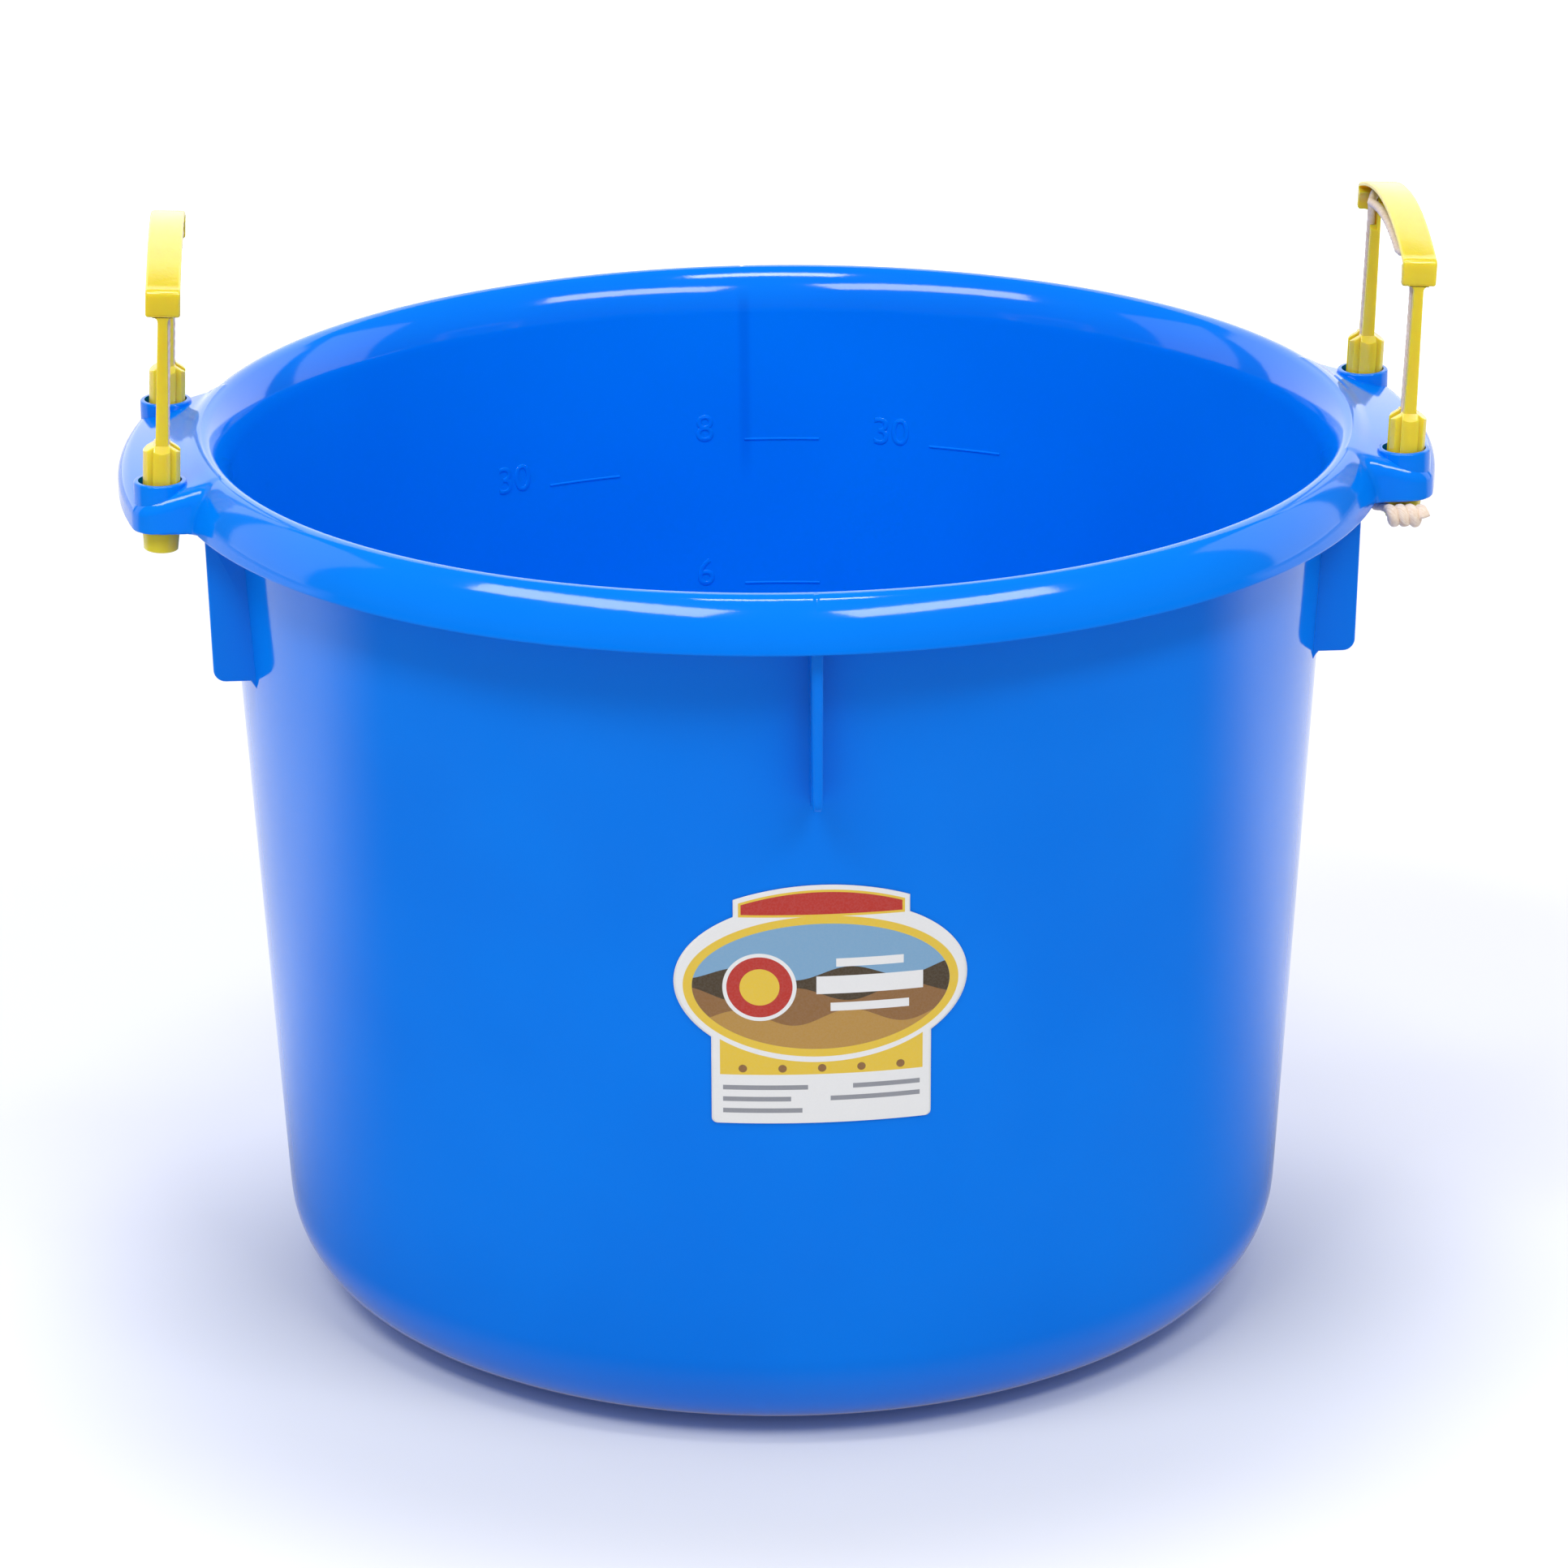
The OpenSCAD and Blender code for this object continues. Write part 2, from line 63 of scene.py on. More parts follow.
# The tub: one thick injection moulding in glossy blue polyethylene. Its wall leans outwards to a rolled
# rim, and an ear grows out of the rim on each side, with two raised sockets for a handle. Plate gussets
# brace the ears, and a single rib stands under the rim at front and back.
MM = 0.001
crease = 35
tub_high = np.array(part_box("tub")[1]) / MM
tub_height = tub_high[2]
base_radius = 187.0
draft = np.radians(3.5)
wall = 3.2
base_round = 38.0
crown_round = 5.0
flare_round = 24.0
skirt_round = 27.5
rim_height = 19.2
blend = np.radians(45)

inner_radius = base_radius - wall / np.cos(draft)
corner_radius = base_radius + base_round * np.tan(draft) - base_round / np.cos(draft)
crown_z = tub_height - crown_round
flare_z = crown_z - (flare_round - crown_round) * np.sin(blend)
flare_radius = inner_radius + flare_z * np.tan(draft) + flare_round / np.cos(draft)
crown_radius = flare_radius - (flare_round - crown_round) * np.cos(blend)
skirt_z = crown_z - (skirt_round - crown_round) * np.sin(blend)
skirt_radius = crown_radius - (skirt_round - crown_round) * np.cos(blend)
rim_z = tub_height - rim_height
rim_radius = tub_high[1]

ear_radius = tub_high[0]
socket_y = 52.5
lobe_round = 11.0
socket_radius = ear_radius - lobe_round
socket_x = np.sqrt(socket_radius**2 - socket_y**2)
socket_angle = np.arctan2(socket_y, socket_x)
ear_step = 6.2
ear_slope = np.radians(16.5)
ear_round = 5.0
ear_drop = 1.0
ear_z = rim_z - ear_drop
ear_fillet = 2.0
drop_run = 6.0
hem_round = 0.8
hem_start = 0.4
seam_depth, seam_width, seam_fade = 0.3, 0.7, 3.0
over_cut = 3.0


def arc(centre, radius, start, stop, count):
    """Points centre + radius (cos a, sin a), for count angles a from start to stop."""
    angle = np.linspace(start, stop, count)
    return np.array(centre) + radius * np.stack([np.cos(angle), np.sin(angle)], axis=-1)


def line(start, stop, count):
    """Points between two ends, both left out."""
    share = np.linspace(0, 1, count + 2)[1:-1, None]
    return np.array(start) * (1 - share) + np.array(stop) * share


def wall_radius(z):
    """Outer radius of the leaning wall at a height."""
    return base_radius + z * np.tan(draft)


def ear_top(radius):
    """Height of the ear's top, a plane that falls outwards, at a distance from the tub's axis."""
    return tub_height - ear_step - (radius - socket_radius) * np.tan(ear_slope)


def round_meet(a, b, radius):
    """Distance field of what lies in both a and b, with their shared edge rounded."""
    outside = np.hypot(np.maximum(a + radius, 0), np.maximum(b + radius, 0))
    return np.minimum(np.maximum(a, b), -radius) + outside


def round_join(a, b, radius):
    """Distance field of a and b together, with a hollow fillet where they meet."""
    inside = np.hypot(np.maximum(radius - a, 0), np.maximum(radius - b, 0))
    return np.maximum(np.minimum(a, b), radius) - inside


def rim_field(turn, radius, z):
    """Distance to the face of rim and ears: crown and skirt arcs joined to the ear, cut off below."""
    beside, above = radius - skirt_radius, z - skirt_z
    crown = np.hypot(radius - crown_radius, z - crown_z) - crown_round
    skirt = np.hypot(beside, above) - skirt_round
    x, y = np.abs(radius * np.cos(turn)), np.abs(radius * np.sin(turn))
    seam = seam_depth * np.exp(-(x / seam_width)**2) * np.clip((z - crown_z) / seam_fade, 0, 1)
    rim = np.where(np.arctan2(above, beside) > blend, crown, skirt) + seam
    lobe = np.hypot(x - socket_x, y - socket_y) - lobe_round
    end = np.where(x < socket_x, y - socket_y - lobe_round, lobe)
    plan = np.where(np.arctan2(y, x) < socket_angle, radius - ear_radius, end)
    top = (z - ear_top(radius)) * np.cos(ear_slope)
    both = round_join(rim, round_meet(plan, top, ear_round), ear_fillet)
    share = np.clip((socket_y + lobe_round + drop_run - y) / drop_run, 0, 1) * (x > socket_x / 2)
    lower_edge = rim_z - ear_drop * share * share * (3 - 2 * share)
    return round_meet(both, lower_edge - z, hem_round)


def halved(field, near, far, rounds=36):
    """Where a field turns from below zero at near to above it at far, by halving the gap between them."""
    for _ in range(rounds):
        middle = (near + far) / 2
        inside = field(middle) < 0
        near, far = np.where(inside, middle, near), np.where(inside, far, middle)
    return near


def rim_face(turns, tilts):
    """The rim's face on a grid: where the field is zero along each ray from the middle of its section."""
    turn, tilt = np.meshgrid(turns, tilts, indexing="ij")
    c, s = np.cos(tilt), np.sin(tilt)
    run = halved(lambda run: rim_field(turn, crown_radius + run * c, ray_z + run * s), ray_near, ray_far)
    return crown_radius + run * c, ray_z + run * s


def mesh_piece(name, points, faces, sharp=crease):
    """A new object from points in millimetres, shaded smooth up to a sharp angle."""
    mesh = bpy.data.meshes.new(name)
    mesh.from_pydata(np.asarray(points).reshape(-1, 3) * MM, [], faces)
    mesh.shade_smooth()
    mesh.set_sharp_from_angle(angle=np.radians(sharp))
    piece = bpy.data.objects.new(name, mesh)
    scene.collection.objects.link(piece)
    return piece


def grid_faces(rows, columns):
    """Quads of a grid whose columns close on themselves, row after row."""
    row, column = np.meshgrid(np.arange(rows - 1), np.arange(columns), indexing="ij")
    a = row * columns + column
    b = row * columns + (column + 1) % columns
    return np.stack([a, b, b + columns, a + columns], axis=-1).reshape(-1, 4).tolist()


def turned(profiles, turns):
    """A closed surface from one section per turn, each from the axis back to it, with a point there."""
    radius, z = profiles[..., 0], profiles[..., 1]
    rows = profiles.shape[1]
    x, y = radius * np.cos(turns)[:, None], radius * np.sin(turns)[:, None]
    grid = np.stack([x, y, z], axis=-1).transpose(1, 0, 2).reshape(-1, 3)
    columns = len(turns)
    poles = np.array([[0, 0, z[0, 0]], [0, 0, z[0, -1]]])
    here, after = np.arange(columns), (np.arange(columns) + 1) % columns
    low = np.stack([after, here, np.full(columns, len(grid))], axis=-1)
    last = (rows - 1) * columns
    high = np.stack([here + last, after + last, np.full(columns, len(grid) + 1)], axis=-1)
    return np.concatenate([grid, poles]), grid_faces(rows, columns) + low.tolist() + high.tolist()


ray_z = 318.0
ray_near, ray_far = 2.0, 60.0
hollow_end = np.arcsin((rim_z - skirt_z) / (skirt_round - wall))
hollow_foot = skirt_radius + (skirt_round - wall) * np.cos(hollow_end)
tilt_end = np.arctan2(ear_z - ray_z, hollow_foot + hem_start - crown_radius)
# Rays and turns, in degrees, lie closest at the ends of the ears, at their rounded edges and at the seam.
tilts = np.radians(np.concatenate([
    np.linspace(np.degrees(tilt_end), -9, 10), np.linspace(-8.4, 17, 36), np.linspace(18.5, 90, 34)]))
ends = np.concatenate([np.arange(12, 19.6, 0.15), [20, 21]])
turns = np.concatenate([
    np.arange(0, 360, 2), np.arange(-12, 13), np.arange(168, 193), ends, -ends, 180 + ends, 180 - ends,
    np.arange(89, 91.1, 0.1), np.arange(269, 271.1, 0.1)])
turns = np.radians(np.unique(np.round(turns % 360, 3)))

corner = (corner_radius, base_round)
rising = np.concatenate([
    line((0, 0), (corner_radius, 0), 5),
    arc(corner, base_round, -np.pi / 2, -draft, 14),
    line((wall_radius(base_round), base_round), (wall_radius(flare_z), flare_z), 9),
    arc((flare_radius, flare_z), flare_round - wall, np.pi - draft, np.pi - blend, 8),
    arc((crown_radius, crown_z), crown_round - wall, np.pi - blend, blend, 6)[1:],
    arc((skirt_radius, skirt_z), skirt_round - wall, blend, hollow_end, 8)[1:]])
inner_foot = np.array([wall_radius(base_round) - wall, base_round])
falling = np.concatenate([
    arc((crown_radius, crown_z), crown_round, np.pi / 2, np.pi - blend, 7)[1:],
    arc((flare_radius, flare_z), flare_round, np.pi - blend, np.pi - draft, 10)[1:],
    line((wall_radius(flare_z) - wall, flare_z), inner_foot, 9),
    arc(corner, base_round - wall, -draft, -np.pi / 2, 14),
    line((corner_radius, wall), (0, wall), 5)])
face_radius, face_z = rim_face(turns, tilts)
count = len(turns)
sections = np.concatenate([
    np.broadcast_to(rising, (count, *rising.shape)),
    np.stack([face_radius, face_z], axis=-1),
    np.broadcast_to(falling, (count, *falling.shape))], axis=1)
tub = mesh_piece("tub_moulding", *turned(sections, turns))

collar_radius = 9.6
collar_z = tub_height - 2.4
collar_round = 0.7
web_z = ear_z + 4.0
bore_radius = 8.0
neck_hole = 5.1
gusset_width = 15.0
gusset_lean = np.radians(1.5)
gusset_z = 254.0
gusset_corner = 4.5
gusset_toe = 1.6
gusset_edge = 1.0
gusset_thick, gusset_thicken = 3.4, 0.8
gusset_flare = 5.0
gusset_top = rim_z + 2 * wall
pocket_gap = 0.3
pocket_steps = 25


def turned_solid(section, sides=48):
    """A solid turned about Z from a section of radius and height."""
    section = np.array(section)
    turn = np.linspace(0, 2 * np.pi, sides, endpoint=False)
    return turned(np.broadcast_to(section, (sides, *section.shape)), turn)


def at_sockets(section):
    """Four solids turned from one section, one about the middle of each socket."""
    points, faces = turned_solid(section, 72)
    middles = [np.array([side * socket_x, end * socket_y, 0]) for side in (-1, 1) for end in (-1, 1)]
    return [(points + middle, faces) for middle in middles]


def plate(outline, thickness, edge):
    """An anticlockwise outline in X and Z as a plate across Y: its rows step in along a quarter round."""
    along = np.roll(outline, -1, axis=0) - np.roll(outline, 1, axis=0)
    inward = np.stack([-along[:, 1], along[:, 0]], axis=-1)
    inward /= np.linalg.norm(inward, axis=1, keepdims=True)
    angle = np.linspace(0, np.pi / 2, 4)
    inset = edge * (1 - np.sin(np.concatenate([angle, angle[::-1]])))
    across = 1 - edge / thickness.mean() * 2 * (1 - np.cos(angle))
    across = np.concatenate([-across, across[::-1]])
    rows = outline[None] + inset[:, None, None] * inward[None]
    points = np.stack([rows[..., 0], across[:, None] * thickness[None] / 2, rows[..., 1]], axis=-1)
    count, layers = len(outline), len(inset)
    sides = [face[::-1] for face in grid_faces(layers, count)]
    caps = [list(range(count)), list(range(layers * count - 1, (layers - 1) * count - 1, -1))]
    return points.reshape(-1, 3), sides + caps


def gusset(y, flare):
    """A brace under the rim: out from the wall, square to it below, flared where it runs into an ear."""
    def wall_at(z):
        return np.sqrt(wall_radius(z)**2 - y * y)

    low = (wall_at(gusset_z) + gusset_width - gusset_corner, gusset_z + gusset_corner)
    toe = (wall_at(gusset_z) - wall / 2, gusset_z - gusset_toe - wall / 2)
    edge = low[0] + gusset_corner + (ear_z - low[1]) * np.tan(gusset_lean)
    head = [(edge, gusset_top)]
    if flare:
        head = arc((edge + flare, ear_z - flare), flare, np.pi, np.pi / 2, 8).tolist()
        head.append((edge + flare, gusset_top))
    outline = np.concatenate([
        line((wall_at(gusset_top) - wall / 2, gusset_top), toe, 6),
        [toe, (wall_at(gusset_z) + gusset_toe, gusset_z)],
        arc(low, gusset_corner, -np.pi / 2, -gusset_lean, 8),
        head])
    rise = (outline[:, 1] - gusset_z) / (rim_z - gusset_z)
    return plate(outline, gusset_thick + gusset_thicken * rise, gusset_edge)


def spun(points, angle):
    """Points turned about the tub's axis."""
    c, s = np.cos(angle), np.sin(angle)
    return points @ np.array([[c, s, 0], [-s, c, 0], [0, 0, 1]])


def carved(piece, solids, operation):
    """Joins solids to a piece's mesh, cuts them out or keeps what they share, and shades it afresh."""
    tool = mesh_piece("tool", *gathered(solids))
    change = piece.modifiers.new("carve", "BOOLEAN")
    change.operation = operation
    change.solver = "MANIFOLD"
    change.object = tool
    result = final_mesh(piece)
    piece.modifiers.clear()
    piece.data = result
    result.shade_smooth()
    result.set_sharp_from_angle(angle=np.radians(crease))
    bpy.data.objects.remove(tool)


def final_mesh(piece):
    """A new mesh of an object with its modifiers applied."""
    return bpy.data.meshes.new_from_object(piece.evaluated_get(bpy.context.evaluated_depsgraph_get()))


def gathered(solids):
    """Several solids as one list of points and faces."""
    starts = np.cumsum([0] + [len(points) for points, _ in solids])
    faces = [[int(start) + i for i in face] for start, (_, solid) in zip(starts, solids) for face in solid]
    return np.concatenate([points for points, _ in solids]), faces


def as_points(mesh):
    """A mesh's vertices as rows of three numbers."""
    points = np.empty(len(mesh.vertices) * 3)
    mesh.vertices.foreach_get("co", points)
    return points.reshape(-1, 3)


def pocket(side):
    """The hollow under an ear, between its sockets: the ear's own form one wall further in."""
    y = np.linspace(-1, 1, pocket_steps) * (socket_y - lobe_round - wall)
    near, far = rim_radius + pocket_gap, ear_radius - wall
    low_z, lift = ear_z - over_cut, wall / np.cos(ear_slope)
    section = np.array([
        (near, low_z), (far, low_z), (far, ear_top(far) - lift), (near, ear_top(near) - lift)])
    x = np.sqrt(section[None, :, 0]**2 - y[:, None]**2)
    z = np.broadcast_to(section[:, 1], x.shape)
    points = np.stack([x, np.broadcast_to(y[:, None], x.shape), z], axis=-1).reshape(-1, 3)
    last = len(points) - 1
    faces = [face[::-1] for face in grid_faces(pocket_steps, 4)]
    faces += [[0, 1, 2, 3], [last, last - 1, last - 2, last - 3]]
    return spun(points, 0 if side > 0 else np.pi), faces


lip = arc((collar_radius - collar_round, collar_z - collar_round), collar_round, 0, np.pi / 2, 6).tolist()
collars = at_sockets(
    [(collar_radius / 2, web_z), (collar_radius, web_z)] + lip + [(collar_radius / 2, collar_z)])
bore_low, bore_high = ear_z - over_cut, tub_height + 3 * over_cut
bores = at_sockets([
    (neck_hole / 2, bore_low), (neck_hole, bore_low), (neck_hole, web_z), (bore_radius, web_z),
    (bore_radius, bore_high), (bore_radius / 2, bore_high)])
braces = []
for end in (-1, 1):
    points, faces = gusset(socket_y, gusset_flare)
    braces.append((points + np.array([0, end * socket_y, 0]), faces))
    braces.append((spun(points, np.pi) + np.array([0, end * socket_y, 0]), faces))
points, faces = gusset(0, 0)
braces += [(spun(points, np.pi / 2), faces), (spun(points, -np.pi / 2), faces)]
carved(tub, collars + braces, "UNION")
carved(tub, bores + [pocket(-1), pocket(1)], "DIFFERENCE")
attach(tub, "tub_body")
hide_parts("tub")


class Wire:
    """A shader socket that does sums: arithmetic on it adds Math nodes to its tree."""

    def __init__(self, tree, socket=None):
        self.tree = tree
        self.socket = socket

    def node(self, kind, settings, inputs, output=0):
        """Any other node: its type, its settings, set first, and values or wires for its inputs."""
        made = self.tree.nodes.new(kind)
        for key, value in settings.items():
            setattr(made, key, value)
        for key, value in inputs.items():
            if isinstance(value, Wire):
                self.tree.links.new(value.socket, made.inputs[key])
            else:
                made.inputs[key].default_value = value
        return Wire(self.tree, made.outputs[output])

    def sum(self, operation, first, second=0.0):
        """A Math node."""
        return self.node("ShaderNodeMath", {"operation": operation}, {0: first, 1: second})

    def __add__(self, other):
        return self.sum("ADD", self, other)

    def __sub__(self, other):
        return self.sum("SUBTRACT", self, other)

    def __rsub__(self, other):
        return self.sum("SUBTRACT", other, self)

    def __mul__(self, other):
        return self.sum("MULTIPLY", self, other)

    def __truediv__(self, other):
        return self.sum("DIVIDE", self, other)

    def __pow__(self, other):
        return self.sum("POWER", self, other)

    __radd__ = __add__
    __rmul__ = __mul__

    def step(self, start, stop):
        """0 below start and 1 above stop, with a smooth rise between."""
        ends = {"Value": self, "From Min": start, "From Max": stop}
        return self.node("ShaderNodeMapRange", {"interpolation_type": "SMOOTHSTEP"}, ends)

    def mix(self, low, high):
        """A colour between two, with this wire as its share of the second."""
        return self.node("ShaderNodeMix", {"data_type": "RGBA"}, {0: self, 6: low, 7: high}, 2)

    def noise(self, coords, scale, detail=2.0):
        """Smooth noise of 0 to 1."""
        return self.node("ShaderNodeTexNoise", {}, {"Vector": coords, "Scale": scale, "Detail": detail})

    def feed(self, shader, name):
        """Plug this wire into a shader's input."""
        self.tree.links.new(self.socket, shader.inputs[name])

    def raise_surface(self, shader, strength, distance):
        """Use this wire as a height that tilts a shader's normal."""
        inputs = {"Strength": strength, "Distance": distance, "Height": self}
        self.node("ShaderNodeBump", {}, inputs).feed(shader, "Normal")

    def axes(self, coords, count=3):
        """The first few coordinates of a vector, each as a wire."""
        return [self.node("ShaderNodeSeparateXYZ", {}, {"Vector": coords}, axis) for axis in range(count)]


def material(name):
    """A new material, with a wire for its tree, its shader and its object coordinates."""
    made = bpy.data.materials.new(name)
    made.use_nodes = True
    wire = Wire(made.node_tree)
    coords = wire.node("ShaderNodeTexCoord", {}, {}, 3)
    return made, wire, made.node_tree.nodes["Principled BSDF"], coords


def paint(red, green, blue):
    """A colour from display values of 0 to 255."""
    c = np.array([red, green, blue]) / 255
    linear = np.where(c < 0.04045, c / 12.92, ((c + 0.055) / 1.055)**2.4)
    return (*linear, 1.0)


plastic, wire, shader, coords = material("blue_polyethylene")
shader.inputs["IOR"].default_value = 1.5
shader.inputs["Specular IOR Level"].default_value = 0.45
cloud = wire.noise(coords, 9.0)
dyed = cloud.step(0.3, 0.7).mix(paint(0, 121, 237), paint(0, 126, 242))
east, north, above = wire.axes(coords)
# A painted shadow: a soft darker strip down the inner back wall, behind the back rib, as if the rib's
# shadow showed through the wall.
beside_rib = wire.sum("ABSOLUTE", east)
behind_rib = (1 - beside_rib.step(0.0006, 0.0034)) * north.step(0.0, 0.01) * above.step(0.243, 0.268)
painted_rib_shadow = 0.42 * behind_rib * (1 - above.step(0.318, 0.328))
painted_rib_shadow.mix(dyed, paint(0, 98, 216)).feed(shader, "Base Color")
(0.06 + 0.05 * wire.noise(coords, 40.0)).feed(shader, "Roughness")
ripple = wire.noise(coords, 16.0) + 0.1 * wire.noise(coords, 900.0)
ripple.raise_surface(shader, 0.12, 0.0006)
tub.data.materials.clear()
tub.data.materials.append(plastic)

# The volume marks inside the tub: numbers and short lines that stand up a little from the inner wall,
# moulded with it. They are barely raised, so they show only as a faint glint.
mark_rise = 0.35
mark_size = 15.4
tick_length = 30.0
tick_thick = 1.7
tick_gap = 16.0
tick_steps = 13
number_lift = 4.5
marks = (("30", -28.1, 253.5), ("8", -4.7, 265.5), ("30", 16.85, 264.5), ("6", -4.9, 206.0))


def on_inner_wall(flat, azimuth, z):
    """Flat points, across and up and out of the page, laid on the inner wall as seen from inside."""
    height = z + flat[:, 1]
    radius = wall_radius(height) - wall / np.cos(draft) - flat[:, 2]
    angle = np.pi / 2 - np.radians(azimuth) - flat[:, 0] / radius
    return np.stack([radius * np.cos(angle), radius * np.sin(angle), height], axis=-1)


def number(text):
    """The outline font's digits as a thin solid, centred across and up."""
    curve = bpy.data.curves.new("digits", "FONT")
    curve.body = text
    curve.size = mark_size
    curve.align_x = "CENTER"
    curve.align_y = "CENTER"
    curve.bevel_depth = mark_rise
    curve.bevel_resolution = 1
    curve.offset = -mark_rise / 2
    curve.resolution_u = 4
    holder = bpy.data.objects.new("digits", curve)
    scene.collection.objects.link(holder)
    mesh = final_mesh(holder)
    shape = bmesh.new()
    shape.from_mesh(mesh)
    bmesh.ops.remove_doubles(shape, verts=shape.verts, dist=1e-4)
    shape.to_mesh(mesh)
    shape.free()
    bpy.data.objects.remove(holder)
    return as_points(mesh), [list(face.vertices) for face in mesh.polygons]


def tick():
    """A line beside a number: a thin bar in steps along the wall."""
    across = np.repeat(np.linspace(0, tick_length, tick_steps) + tick_gap, 4)
    low, high = tick_thick / 2, tick_thick / 8
    section = np.array([(-low, -mark_rise), (low, -mark_rise), (high, mark_rise), (-high, mark_rise)])
    points = np.concatenate([across[:, None], np.tile(section, (tick_steps, 1))], axis=1)
    last = len(points) - 1
    return points, grid_faces(tick_steps, 4) + [[3, 2, 1, 0], [last - 3, last - 2, last - 1, last]]


raised = []
for text, azimuth, z in marks:
    for (points, faces), lift in ((number(text), number_lift), (tick(), 0)):
        raised.append((on_inner_wall(points, azimuth, z + lift), faces))
graduations = mesh_piece("tub_graduations", *gathered(raised))
graduations.data.materials.append(plastic)
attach(graduations, "tub_body")

# The handles: one yellow polyethylene moulding each, an arched channel for the hand on two thin straps.
# The plug of crossed ribs at the foot of each strap stands in a socket, and its neck snaps through the web
# below. The channel is open towards the tub and below, and it holds the rope.
pivot_z = ear_z + 2.0
lean = np.radians(2.5)
plug_radius, plug_half = 6.9, 7.4
plug_z = web_z + 0.75
fin_z = collar_z + 10.8
strap_z = fin_z + 3.2
fin_thick = 9.2
rib_width = 6.2
strap_low, strap_high, strap_depth = 4.6, 3.6, 9.6
strap_flare, strap_bite = 2.0, 0.6
plug_edge, soft_edge = 0.6, 0.5
core, thin_core = 3.0, 2.0
overlap = 0.5
neck_radius = 4.5
foot_z = ear_z - 0.75
foot_tip_z = foot_z - 7.6
foot_radius, foot_tip_radius = 7.0, 6.4
cup_radius, cup_depth = 5.3, 6.2
grip_z = collar_z + 80.9
grip_round = 180.0
grip_axis_z = grip_z - grip_round
grip_width, grip_height, grip_wall = 12.6, 9.5, 1.7
grip_edge = 1.0
grip_end_y = socket_y + strap_depth / 2
block_y = socket_y - strap_depth / 2
grip_end_z = grip_axis_z + np.sqrt(grip_round**2 - grip_end_y**2)
grip_low_z = grip_end_z - 9.6
heel_cut, head_cut = 1.6, 2.0
heel_slope, head_slope = (3.0, 5.0), (9.0, 3.3)
wave_end = 3.2
crown_end = 0.012
ledge_lift = 4.4
finger_waves, finger_depth = 6, 0.8
rope_radius, rope_gap = 1.6, 0.2
rope_x = -1.2
channel_x = 0.6
channel_half = 1.8
channel_reach = 20.0
turn_radius = 6.5
turn_y = socket_y - turn_radius
arch_radius = 175.65
turn_z = grip_axis_z + np.sqrt((arch_radius - turn_radius)**2 - turn_y**2)
turn_angle = np.arcsin(turn_y / (arch_radius - turn_radius))


def corner_curve(before, at, after, cut, count=6):
    """A curve that rounds one corner of an outline and touches both its sides at a distance from it."""
    before, at, after = np.array(before), np.array(at), np.array(after)
    start = at + cut * (before - at) / np.linalg.norm(before - at)
    stop = at + cut * (after - at) / np.linalg.norm(after - at)
    t = np.linspace(0, 1, count)[:, None]
    return (1 - t)**2 * start + 2 * t * (1 - t) * at + t * t * stop


def even_plate(outline, thickness, edge):
    """A plate of one thickness."""
    outline = np.array(outline)
    return plate(outline, np.full(len(outline), thickness), edge)


def across_x(solid, shift=0.0):
    """A plate whose outline is drawn in Y and Z, turned to lie across X and moved along it."""
    points, faces = solid
    return spun(points, np.pi / 2) + np.array([shift, 0, 0]), faces


def at_ends(solid):
    """A solid of one leg, at both ends of the grip."""
    points, faces = solid
    return [(points + np.array([0, end * socket_y, 0]), faces) for end in (-1, 1)]


def plug_outline(half, shoulder):
    """A plug from the side, with shoulders that narrow to the strap."""
    right = np.array([(half, plug_z), (half, fin_z), (shoulder, strap_z)])
    left = right[::-1] * np.array([-1, 1])
    return np.concatenate([left[-1:], right, left[:-1]])


def strap_outline():
    """A strap from the front: it narrows upwards and flares into the grip."""
    low_z, top = strap_z - overlap, grip_low_z + strap_bite
    side = (strap_low / 2, low_z)
    under = (strap_high / 2, grip_low_z)
    flare = corner_curve(side, under, (grip_width, grip_low_z), strap_flare)
    right = np.concatenate([[side], flare, [(under[0] + strap_flare, top)]])
    return np.concatenate([right, right[::-1] * np.array([-1, 1])])


def grip_outline():
    """The grip from the side: an arch on a wavy lower edge, with a block at each end."""
    foot, heel, head = (grip_end_y, grip_low_z), (block_y, grip_low_z), (grip_end_y, grip_end_z)
    inner = (block_y - heel_slope[0], grip_low_z + heel_slope[1])
    outer = (grip_end_y - head_slope[0], grip_end_z + head_slope[1])
    y = np.linspace(-1, 1, 8 * finger_waves + 1) * (block_y - wave_end)
    wave = finger_depth * (0.5 + 0.5 * np.cos(np.pi * finger_waves * y / block_y))
    low_radius = grip_round - grip_height + finger_depth - wave
    lower_edge = np.stack([y, grip_axis_z + np.sqrt(low_radius**2 - y * y)], axis=-1)
    end_angle = np.arcsin(grip_end_y / grip_round)
    right = np.concatenate([
        corner_curve(inner, heel, foot, heel_cut), corner_curve(heel, foot, head, heel_cut),
        corner_curve(foot, head, outer, head_cut)])
    left = right[::-1] * np.array([-1, 1])
    half = end_angle - crown_end
    crown = arc((0, grip_axis_z), grip_round, np.pi / 2 - half, np.pi / 2 + half, 41)
    return np.concatenate([lower_edge, right, crown, left])


def hollow_outline():
    """What the grip's channel leaves open: under the top plate, above a ledge at each end."""
    roof = grip_round - grip_wall
    roof_angle = np.arcsin((grip_end_y - grip_wall) / roof)
    ledge_y, ledge_z, open_z = block_y - grip_wall, grip_low_z + ledge_lift, grip_low_z - over_cut
    right = np.array([(ledge_y, open_z), (ledge_y, ledge_z), (block_y, ledge_z)])
    over = arc((0, grip_axis_z), roof, np.pi / 2 - roof_angle, np.pi / 2 + roof_angle, 41)
    return np.concatenate([right, over, right[::-1] * np.array([-1, 1])])


